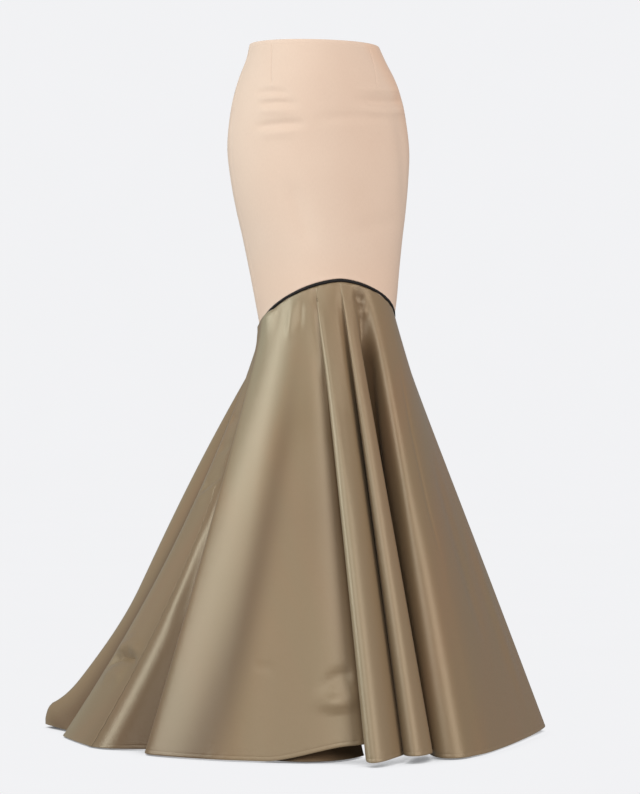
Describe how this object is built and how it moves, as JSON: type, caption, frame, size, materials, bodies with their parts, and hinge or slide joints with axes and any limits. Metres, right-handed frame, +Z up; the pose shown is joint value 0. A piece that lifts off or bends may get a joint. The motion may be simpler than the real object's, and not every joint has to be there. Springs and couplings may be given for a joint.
{
  "type": "mermaid fishtail skirt",
  "caption": "Long mermaid skirt: a fitted nude tube to the knee, dark piping on a curved seam, and a wide olive satin fishtail flounce with a short train.",
  "frame": {"origin": "centre of the waist opening at the top edge, where the wearer holds the skirt up", "axes": "+Z up, centre front faces -Y, the wearer's left side is +X, the train runs out towards +Y"},
  "size_m": [0.8327, 1.0804, 1.1784],
  "materials": {
    "nude_cloth": "matte",
    "olive_satin": "satin",
    "piping": "matte",
    "zip_tape": "matte",
    "zip_metal": "satin"
  },
  "bodies": {
    "skirt": {"skirt_front": "nude_cloth", "skirt_back_left": "nude_cloth", "skirt_back_right": "nude_cloth", "piping": "piping", "flounce_front": "olive_satin", "flounce_back_left": "olive_satin", "flounce_back_right": "olive_satin", "zip_tape_left": "zip_tape", "zip_tape_right": "zip_tape", "zip_slider": "zip_metal"},
    "zip_pull": {"zip_pull": "zip_metal"}
  },
  "joints": [
    {"name": "zip_pull_hinge", "type": "hinge", "parent": "skirt", "child": "zip_pull", "pos_m": [0.00115, 0.08374, -0.01175], "axis": [1, 0, 0], "range_deg": [0, 150]}
  ]
}
